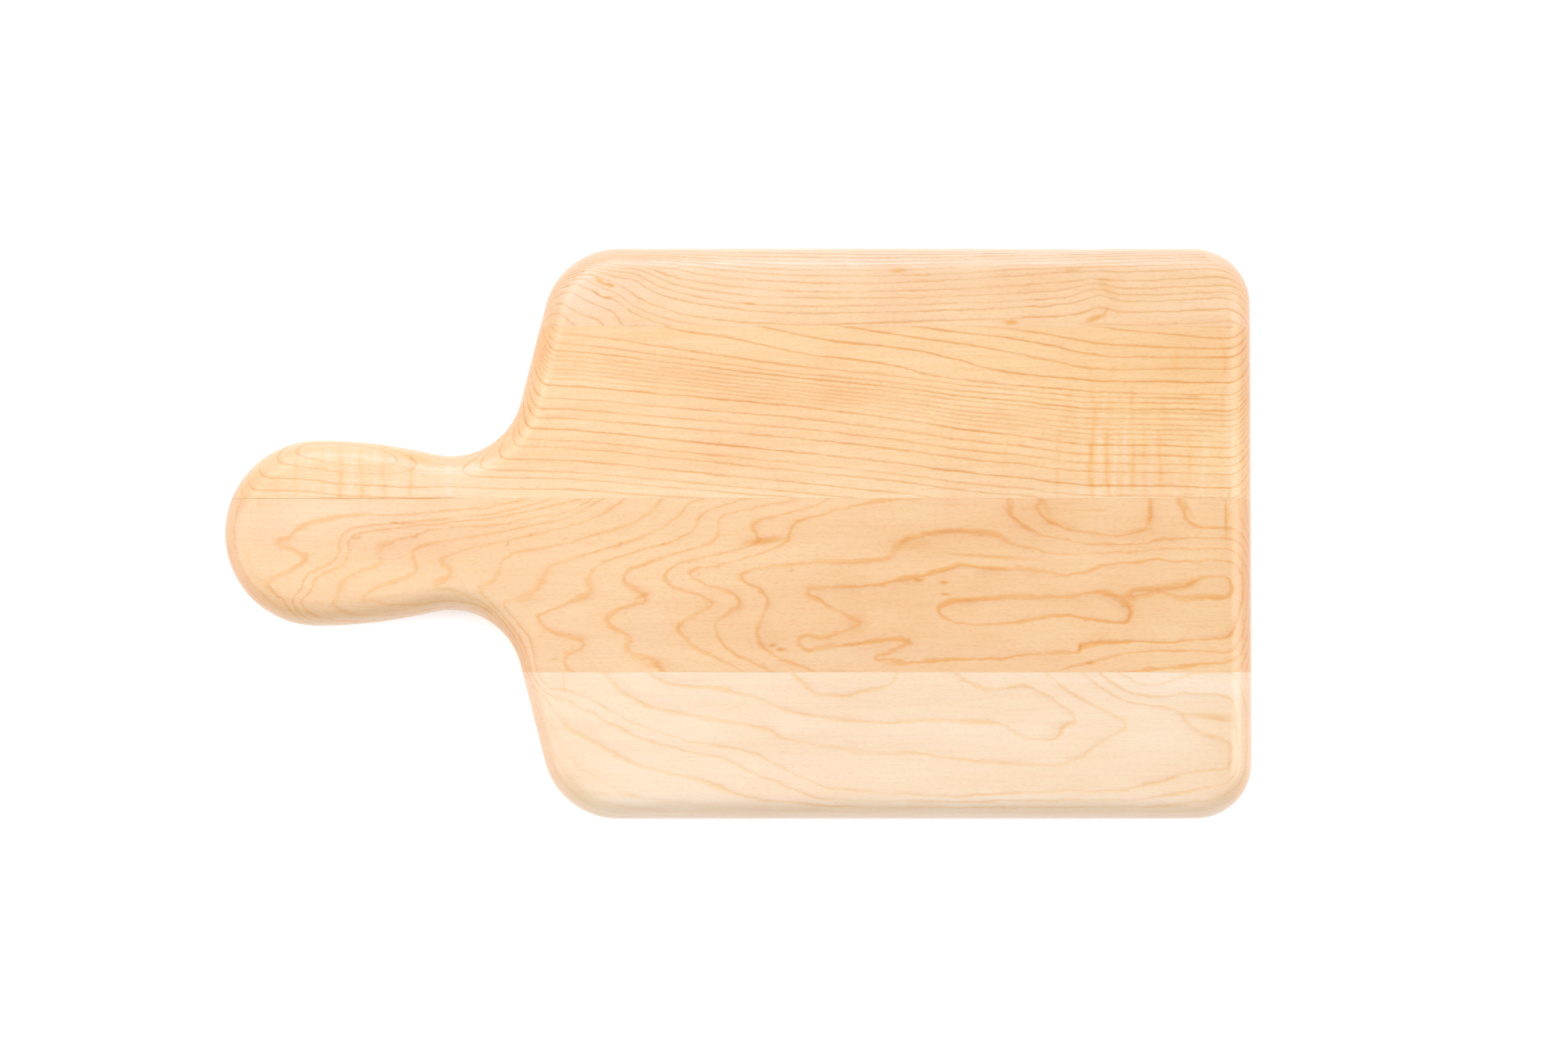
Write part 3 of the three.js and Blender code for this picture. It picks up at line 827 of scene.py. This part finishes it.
def add_rings(piece, stave, field, drift, rings_per_depth):
    """Stores what the growth lines need at each vertex: the ring number, the millimetres
    that a ring takes up along the surface, and the strength of the nearest line.

    A ring moves by drift, in X and Y, for each millimetre below the face, and the depth adds
    rings of its own. Returns each vertex's place and its depth below the face, in
    millimetres."""
    mesh = piece.data
    count = len(mesh.vertices)
    places = np.empty(count * 3)
    mesh.vertices.foreach_get("co", places)
    places = places.reshape(-1, 3) / MM
    outward = np.empty(count * 3)
    mesh.attributes["outward"].data.foreach_get("vector", outward)
    outward = outward.reshape(-1, 3)
    outward /= np.maximum(np.linalg.norm(outward, axis=1), 1e-6)[:, None]

    depth = THICKNESS - places[:, 2]
    x, y = places[:, 0], places[:, 1]
    drift_x, drift_y = [along_board(x, value) for value in drift]
    rings_per_depth = along_board(x, rings_per_depth)
    ring, slope_x, slope_y = field(x - drift_x * depth, y - drift_y * depth)
    ring = ring + rings_per_depth * depth
    slope_z = drift_x * slope_x + drift_y * slope_y - rings_per_depth
    slope = np.column_stack([slope_x, slope_y, slope_z])
    along = slope - (slope * outward).sum(1)[:, None] * outward
    width = 1 / np.maximum(np.linalg.norm(along, axis=1), 1 / WIDEST_RING)
    store(mesh, "ring", ring)
    store(mesh, "ring_width", width)
    store(mesh, "line_strength", line_strength(stave, ring))
    return places, depth


def within_oval(places, x, y, length, width, lean):
    """Where each place is in an oval's own axes, which reach 1 at its rim."""
    turn = math.radians(lean)
    dx, dy = places[:, 0] - x, places[:, 1] - y
    u = (dx * math.cos(turn) + dy * math.sin(turn)) / (length / 2)
    v = (dy * math.cos(turn) - dx * math.sin(turn)) / (width / 2)
    return u, v


def add_flecks(piece, flecks, places, depth):
    """Stores how dark the flecks make the wood. A short, round one has a pale heart, painted as the
    glint of light in a small pit.
    """
    fleck_and_glint = np.zeros(len(places))
    for *oval, strength in flecks:
        u, v = within_oval(places, *oval)
        spot = np.exp(-((u**2 + v**2) ** 1.5))
        length, width = oval[2:4]
        if length < ROUND_FLECK * width:
            from_glint = np.hypot(u - GLINT_PLACE[0], v - GLINT_PLACE[1]) / GLINT_SIZE
            spot -= PIT_GLINT * np.exp(-(from_glint**2))
        fleck_and_glint += strength * spot * (depth < EDGE_INSET)
    store(piece.data, "fleck_and_glint", fleck_and_glint)


def add_tones_and_rim_highlights(piece, tones_and_highlights, places):
    """Stores how much darker the soft patches make the wood, negative for paler. The pale ones along
    the rims are painted highlight.
    """
    tone_and_highlight = np.zeros(len(places))
    for *oval, strength in tones_and_highlights:
        u, v = within_oval(places, *oval)
        tone_and_highlight += strength * np.exp(-(u**2 + v**2))
    store(piece.data, "tone_and_highlight", tone_and_highlight)


def add_curl(piece, places):
    """Stores how much the curl darkens the wood, from 0 to 1, with 0.5 for not at all."""
    x, y = places[:, 0], places[:, 1]
    curl = np.zeros(len(places))
    for (low_y, high_y), bars in CURL:
        middle, half = (low_y + high_y) / 2, (high_y - low_y) / 2
        within = np.clip(1.6 * (1 - np.abs(y - middle) / half), 0, 1)
        for bar_x, darker in bars:
            bow = CURL_BOW * np.sin(y / CURL_BOW_LENGTH + bar_x)
            curl += darker * within * np.exp(-(((x - bar_x - bow) / CURL_WIDTH) ** 2))
    store(piece.data, "curl", 0.5 + 0.5 * np.clip(curl, -1, 1))


# ---- Materials ----------------------------------------------------------------------------

# PALE_TONE also tints the painted highlights on the rims and the painted glints in the pits.
PALE_TONE = (1.01, 1.1, 1.32, 1)  # makes wood paler and less yellow
CURL_TINT = "#fde5b6"
END_PORE_TINT = "#e6cdb8"

# What the staves' looks have in common. The tints multiply the wood's colour. Wander, thin
# and thick are in millimetres: how far a line strays, and how wide it is at the least and
# at the most. Shade is the late wood beside a line, on the ring's older side.
COMMON_LOOK = {
    "patches": 0.5,
    "patch_tint": "#fbf0e6",
    "fibres": 0.25,
    "pores": 0.35,
    "fibre_tint": "#f3dcc4",
    "pale_fibres": 0.2,
    "curl": 0,
    "wander": 1.4,
    "wander_size": (8, 3.5, 3.5),
    "thin": 0.5,
    "thick": 1.5,
    "older_side": 1.0,
    "shade_reach": 3.0,
    "shade": 0.8,
    "shade_tint": "#f8ece6",
    "dark_tone": "#fcf6e0",
    "line_tint": "#f0dbae",
    "fleck_tint": "#f3d27c",
    "end_grain": 0.5,
    "end_tint": "#fadcc0",
}
LOOKS = {
    "narrow_edge": {
        "light": "#ebc392",
        "deep": "#e8bc84",
        "wander": 0.6,
        "wander_size": (5, 3, 3),
        "thin": 0.42,
        "thick": 0.9,
        "pale_fibres": 0.4,
    },
    "straight_grain": {
        "light": "#ecc48c",
        "deep": "#e9bb7f",
        "line_tint": "#f3d59c",
        "wander": 0.5,
        "thin": 0.45,
        "thick": 0.8,
        "curl": 1.0,
        "pale_fibres": 0.6,
    },
    "handle": {
        "light": "#e9bf89",
        "deep": "#e5b77f",
        "line_tint": "#fbe2ad",
        "thick": 1.5,
        "dark_tone": "#fbf1df",
    },
    "pale_edge": {
        "light": "#edd2ad",
        "deep": "#eacba2",
        "line_tint": "#fdf0d3",
        "thick": 1.3,
        "fibres": 0.18,
        "pores": 0.22,
        "patches": 0.3,
        "dark_tone": "#fbf3e6",
        "fleck_tint": "#f3d9a6",
    },
}

# The glue. Dirt has got into the joint in the handle: none at the first place along X, in
# millimetres, and all over from the second.
GLUE_COLOURS = ("#d9ae7c", "#e6c096")
DIRTY_GLUE = "#a87848"
DIRT_FROM, DIRT_ALL_OVER = -98, -108


def linear(colour):
    """A hex colour such as "#e8c08a" as the linear RGBA that Blender takes."""
    parts = [int(colour[i:i + 2], 16) / 255 for i in (1, 3, 5)]
    return [p / 12.92 if p <= 0.04045 else ((p + 0.055) / 1.055) ** 2.4 for p in parts] + [1]


class Graph:
    """A short way to write a material's nodes."""

    def __init__(self, name):
        self.material = bpy.data.materials.new(name)
        self.material.use_nodes = True
        self.tree = self.material.node_tree
        self.surface = self.tree.nodes["Principled BSDF"]

    def put(self, socket, value):
        if isinstance(value, bpy.types.NodeSocket):
            self.tree.links.new(value, socket)
        elif value is not None:
            socket.default_value = value

    def node(self, kind, settings=None, inputs=None):
        made = self.tree.nodes.new(kind)
        for key, value in (settings or {}).items():
            setattr(made, key, value)
        for key, value in (inputs or {}).items():
            self.put(made.inputs[key], value)
        return made

    def math(self, operation, a, b=None, c=None):
        inputs = {0: a, 1: b, 2: c}
        return self.node("ShaderNodeMath", {"operation": operation}, inputs).outputs[0]

    def attribute(self, name):
        return self.node("ShaderNodeAttribute", {"attribute_name": name}).outputs["Fac"]

    def fade(self, value, low, high, to_low=0.0, to_high=1.0):
        """Goes smoothly from to_low at low to to_high at high."""
        inputs = {"Value": value, "From Min": low, "From Max": high}
        inputs.update({"To Min": to_low, "To Max": to_high})
        settings = {"interpolation_type": "SMOOTHSTEP"}
        return self.node("ShaderNodeMapRange", settings, inputs).outputs["Result"]

    def stretch(self, vector, scale):
        """The vector divided by a length along each axis, in millimetres."""
        inputs = {0: vector, 1: tuple(1 / (s * MM) for s in scale)}
        settings = {"operation": "MULTIPLY"}
        return self.node("ShaderNodeVectorMath", settings, inputs).outputs[0]

    def noise(self, vector, size, detail=2.0, roughness=0.5):
        """Noise from about 0 to 1 whose features are size long along X, Y and Z."""
        inputs = {"Vector": self.stretch(vector, size), "Scale": 1.0}
        inputs.update({"Detail": detail, "Roughness": roughness})
        return self.node("ShaderNodeTexNoise", {}, inputs).outputs["Fac"]

    def mix(self, factor, a, b, blend="MIX"):
        settings = {"data_type": "RGBA", "blend_type": blend}
        made = self.node("ShaderNodeMix", settings, {0: factor, 6: a, 7: b})
        return made.outputs[2]

    def multiply(self, factor, colour, tint):
        return self.mix(factor, colour, linear(tint) if isinstance(tint, str) else tint, "MULTIPLY")


def growth_lines(g, place, look):
    """How strong the growth line is here, and the shade beside it, from 0 to 1."""
    ring, width = g.attribute("ring"), g.attribute("ring_width")
    wander = g.noise(place, look["wander_size"], 5.0, 0.62)
    shift = g.math("MULTIPLY", g.math("SUBTRACT", wander, 0.5), 2 * look["wander"])
    least_width = g.math("MAXIMUM", width, look["wander"] * 2)
    moved = g.math("ADD", ring, g.math("DIVIDE", shift, least_width))

    nearest = g.math("ROUND", moved)
    past = g.math("MULTIPLY", g.math("SUBTRACT", moved, nearest), width)
    away = g.math("ABSOLUTE", past)

    # The line is wider where the surface runs nearly along the ring.
    widest = g.fade(width, 1.5, 14.0, look["thin"], look["thick"])
    ragged = g.fade(g.noise(place, (8, 2.5, 2.5), 2.0), 0.3, 0.7, 0.6, 1.45)
    reach = g.math("MULTIPLY", widest, ragged)
    core = g.fade(g.math("DIVIDE", away, reach), 1.0, 0.15)

    # Late wood darkens gradually on the ring's older side and stops short at the line.
    older = g.math("MULTIPLY", past, look["older_side"])
    shade_reach = g.math("MULTIPLY", reach, look["shade_reach"])
    shade = g.fade(g.math("DIVIDE", older, shade_reach), 1.0, 0.0)
    shade = g.math("MULTIPLY", shade, g.math("GREATER_THAN", older, 0.0))

    here_and_there = g.fade(g.noise(place, (22, 12, 12), 1.0), 0.4, 0.62, 0.25, 1.0)
    shade = g.math("MULTIPLY", shade, here_and_there)

    along = g.fade(g.noise(place, (24, 7, 7), 3.0), 0.32, 0.65, 0.6, 1.15)
    strength = g.math("MULTIPLY", g.attribute("line_strength"), along)
    return g.math("MULTIPLY", core, strength), g.math("MULTIPLY", shade, strength)


def maple(name, look):
    """Oiled maple. look holds the stave's own colours and the character of its lines."""
    g = Graph(name)
    coordinates = g.node("ShaderNodeTexCoord")
    place, facing = coordinates.outputs["Object"], coordinates.outputs["Normal"]

    # Sapwood tints in broad streaks along the grain.
    streaks = g.fade(g.noise(place, (120, 16, 16), 3.0), 0.32, 0.68)
    colour = g.mix(streaks, linear(look["light"]), linear(look["deep"]))
    patches = g.fade(g.noise(place, (45, 30, 30), 2.0), 0.45, 0.75)
    colour = g.multiply(g.math("MULTIPLY", patches, look["patches"]), colour, look["patch_tint"])

    # Fibres, darker and paler, and pores.
    fibres = g.noise(place, (14, 0.55, 0.55), 3.0, 0.6)
    colour = g.multiply(g.fade(fibres, 0.45, 0.75, 0.0, look["fibres"]), colour, look["fibre_tint"])
    colour = g.multiply(g.fade(fibres, 0.48, 0.3, 0.0, look["pale_fibres"]), colour, PALE_TONE)
    pores = g.noise(place, (1.7, 0.65, 0.65), 2.0)
    colour = g.multiply(g.fade(pores, 0.45, 0.75, 0.0, look["pores"]), colour, look["fibre_tint"])

    # Soft patches, darker and paler, and the painted highlight along the rims.
    tone_and_highlight = g.attribute("tone_and_highlight")
    colour = g.multiply(tone_and_highlight, colour, look["dark_tone"])
    colour = g.multiply(g.math("MULTIPLY", tone_and_highlight, -1.0), colour, PALE_TONE)

    # Curl's golden and pale bars.
    if look["curl"]:
        bars = g.attribute("curl")
        broken = g.fade(g.noise(place, (3, 6, 6), 1.0), 0.35, 0.65, 0.35, 1.0)
        golden = g.math("MULTIPLY", g.fade(bars, 0.5, 1.0), broken)
        colour = g.multiply(g.math("MULTIPLY", golden, look["curl"]), colour, CURL_TINT)
        pale = g.fade(bars, 0.5, 0.0, 0.0, look["curl"])
        colour = g.multiply(g.math("MULTIPLY", pale, broken), colour, PALE_TONE)

    # Growth lines and flecks. A value below 0 is a pale heart: a painted glint of light in a small
    # pit.
    lines, shade = growth_lines(g, place, look)
    colour = g.multiply(g.math("MULTIPLY", shade, look["shade"]), colour, look["shade_tint"])
    colour = g.multiply(lines, colour, look["line_tint"])
    fleck_and_glint = g.attribute("fleck_and_glint")
    colour = g.multiply(fleck_and_glint, colour, look["fleck_tint"])
    colour = g.multiply(g.math("MULTIPLY", fleck_and_glint, -1.0), colour, PALE_TONE)

    # End grain: darker and redder, with open pores.
    across = g.node("ShaderNodeSeparateXYZ", {}, {0: facing}).outputs["X"]
    end_grain = g.fade(g.math("ABSOLUTE", across), 0.2, 0.95)
    colour = g.multiply(g.math("MULTIPLY", end_grain, look["end_grain"]), colour, look["end_tint"])
    open_pores = g.fade(g.noise(place, (0.5, 0.5, 0.5), 1.0), 0.56, 0.72)
    open_pores = g.math("MULTIPLY", g.math("MULTIPLY", open_pores, end_grain), 0.5)
    colour = g.multiply(open_pores, colour, END_PORE_TINT)

    g.put(g.surface.inputs["Base Color"], colour)
    rough = g.math("MULTIPLY_ADD", fibres, 0.14, 0.36)
    g.put(g.surface.inputs["Roughness"], g.math("MULTIPLY_ADD", end_grain, 0.08, rough))
    g.put(g.surface.inputs["IOR"], 1.47)
    g.put(g.surface.inputs["Coat Weight"], 0.8)
    g.put(g.surface.inputs["Coat Roughness"], 0.4)
    g.put(g.surface.inputs["Coat IOR"], 1.6)
    height = g.math("SUBTRACT", g.math("MULTIPLY", fibres, 0.5), g.math("MULTIPLY", lines, 0.35))
    bump = g.node("ShaderNodeBump", {}, {"Strength": 0.25, "Distance": 0.05 * MM, "Height": height})
    g.put(g.surface.inputs["Normal"], bump.outputs["Normal"])
    return g.material


def wood_glue(name):
    """Dried yellow glue, sanded flush with the wood."""
    g = Graph(name)
    place = g.node("ShaderNodeTexCoord").outputs["Object"]
    worn = g.fade(g.noise(place, (11, 1, 4), 3.0), 0.35, 0.7)
    colour = g.mix(worn, *[linear(c) for c in GLUE_COLOURS])
    along = g.node("ShaderNodeSeparateXYZ", {}, {0: place}).outputs["X"]
    dirt = g.fade(along, DIRT_FROM * MM, DIRT_ALL_OVER * MM)
    colour = g.mix(dirt, colour, linear(DIRTY_GLUE))
    g.put(g.surface.inputs["Base Color"], colour)
    g.put(g.surface.inputs["Roughness"], g.math("MULTIPLY_ADD", worn, 0.15, 0.42))
    return g.material


def plain(name, colour, roughness):
    """One dull colour all over."""
    g = Graph(name)
    g.put(g.surface.inputs["Base Color"], linear(colour))
    g.put(g.surface.inputs["Roughness"], roughness)
    g.put(g.surface.inputs["Specular IOR Level"], 0.2)
    return g.material


# ---- The pieces ---------------------------------------------------------------------------

def finish_piece(piece, node, material):
    """Gives a piece its material, hangs it on the root body and hides the CAD node it stands in for.
    """
    piece.data.attributes.remove(piece.data.attributes["outward"])
    piece.data.materials.append(material)
    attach(piece, "root")
    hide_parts(node)


def build_staves(board):
    """Each stave is the slice of the board that its CAD node takes up."""
    fields = {
        "narrow_edge": (RingField(NARROW_EDGE_LINES), (0, NARROW_EDGE_TILT), 0),
        "straight_grain": (straight_grain_field, (0, STRAIGHT_GRAIN_TILT), 0),
        "handle": (RingField(HANDLE_LINES), HANDLE_DRIFT, HANDLE_RINGS_PER_DEPTH),
        "pale_edge": (RingField(PALE_EDGE_LINES), PALE_DRIFT, PALE_RINGS_PER_DEPTH),
    }
    for stave in STAVES:
        node = stave + "_stave"
        low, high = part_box(node)
        piece = slice_across(board, "wood_" + node, low.y / MM, high.y / MM)
        field, drift, rings_per_depth = fields[stave]
        places, depth = add_rings(piece, stave, field, drift, rings_per_depth)
        add_flecks(piece, FLECKS[stave], places, depth)
        add_tones_and_rim_highlights(piece, TONES_AND_RIM_HIGHLIGHTS[stave], places)
        if stave == "straight_grain":
            add_curl(piece, places)
        material = maple("maple_" + stave, {**COMMON_LOOK, **LOOKS[stave]})
        finish_piece(piece, node, material)


def build_glue_lines(board):
    """The films of glue between the staves."""
    material = wood_glue("dried_glue")
    for stave in ("narrow_edge", "handle", "pale_edge"):
        node = stave + "_glue_line"
        low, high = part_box(node)
        piece = slice_across(board, "film_" + node, low.y / MM, high.y / MM)
        finish_piece(piece, node, material)


# ---- Camera, floor and light --------------------------------------------------------------

CAMERA_DISTANCE = 1.5
CAMERA_TILT = math.radians(1.98)  # it leans back a little from straight down
CAMERA_AIM = Vector((0.01644, 0.00406, 0))
PICTURE_WIDTH = 0.5619  # what the picture takes in at the aim, in metres
SENSOR_WIDTH = 36

# The room's colour and how bright it is, by how high up and by how far over towards the far wall.
ROOM_COLOUR = (0.95, 0.985, 1.1, 1)
ROOM_BY_HEIGHT = {"From Min": 0.1, "From Max": 0.8, "To Min": 0.75, "To Max": 0.27}
ROOM_BY_DEPTH = {"From Min": -1.0, "From Max": -0.3, "To Min": 0.0, "To Max": 1.0}

FLOOR_HALF_WIDTH = 3.0
FLOOR_GLOW = 0.25

# Name, place and size in metres, power in watts and colour. All of them point at the board.
SOFTBOXES = [
    ("far_softbox", (-0.15, 1.3, 1.1), (1.4, 0.6), 11, (0.87, 0.98, 1.37)),
    ("overhead_softbox", (-0.5, 0.3, 1.3), (0.9, 0.8), 7, (1, 1, 1)),
    ("left_softbox", (-1.25, -0.5, 0.8), (1.1, 0.8), 7, (1, 1, 1)),
    ("near_softbox", (0.1, -0.8, 1.3), (1.2, 0.5), 2.8, (0.9, 1, 1.35)),
    ("right_softbox", (1.2, -0.1, 0.9), (0.7, 1.0), 9, (1, 1, 1)),
]


def add_camera():
    data = bpy.data.cameras.new("camera")
    data.sensor_width = SENSOR_WIDTH
    data.lens = SENSOR_WIDTH * CAMERA_DISTANCE / PICTURE_WIDTH
    camera = bpy.data.objects.new("camera", data)
    back = Vector((0, -math.sin(CAMERA_TILT), math.cos(CAMERA_TILT)))
    camera.location = CAMERA_AIM + CAMERA_DISTANCE * back
    camera.rotation_euler = (CAMERA_TILT, 0, 0)
    bpy.context.scene.collection.objects.link(camera)
    bpy.context.scene.camera = camera


def add_softbox(name, place, size, power, colour):
    data = bpy.data.lights.new(name, "AREA")
    data.shape = "RECTANGLE"
    data.size, data.size_y = size
    data.energy = power
    data.color = colour
    light = bpy.data.objects.new(name, data)
    light.location = place
    light.rotation_euler = (-Vector(place)).to_track_quat("-Z", "Y").to_euler()
    bpy.context.scene.collection.objects.link(light)


def white_room():
    """A world of white walls, brightest near the floor and dark on the near side."""
    world = bpy.data.worlds.new("studio")
    world.use_nodes = True
    nodes, links = world.node_tree.nodes, world.node_tree.links
    direction = nodes.new("ShaderNodeTexCoord")
    parts = nodes.new("ShaderNodeSeparateXYZ")
    both = nodes.new("ShaderNodeMath")
    both.operation = "MULTIPLY"
    links.new(direction.outputs["Generated"], parts.inputs[0])
    for slot, (axis, fade) in enumerate((("Z", ROOM_BY_HEIGHT), ("Y", ROOM_BY_DEPTH))):
        part = nodes.new("ShaderNodeMapRange")
        part.interpolation_type = "SMOOTHSTEP"
        for name, value in fade.items():
            part.inputs[name].default_value = value
        links.new(parts.outputs[axis], part.inputs["Value"])
        links.new(part.outputs["Result"], both.inputs[slot])
    links.new(both.outputs[0], nodes["Background"].inputs["Strength"])
    nodes["Background"].inputs["Color"].default_value = ROOM_COLOUR
    return world


def add_studio():
    """A white floor in a bright white room, with the strongest light from the far side."""
    half = FLOOR_HALF_WIDTH
    mesh = bpy.data.meshes.new("floor")
    corners = [(-half, -half, 0), (half, -half, 0), (half, half, 0), (-half, half, 0)]
    mesh.from_pydata(corners, [], [(0, 1, 2, 3)])
    white = plain("light_table", "#f8f8f8", 0.9)
    surface = white.node_tree.nodes["Principled BSDF"]
    surface.inputs["Emission Color"].default_value = (1, 1, 1, 1)
    surface.inputs["Emission Strength"].default_value = FLOOR_GLOW
    mesh.materials.append(white)
    floor = bpy.data.objects.new("floor", mesh)
    bpy.context.scene.collection.objects.link(floor)

    bpy.context.scene.world = white_room()
    bpy.context.scene.view_settings.view_transform = "Standard"

    for softbox in SOFTBOXES:
        add_softbox(*softbox)


add_camera()
add_studio()
board_mesh = whole_board()
build_staves(board_mesh)
build_glue_lines(board_mesh)
bpy.data.meshes.remove(board_mesh)
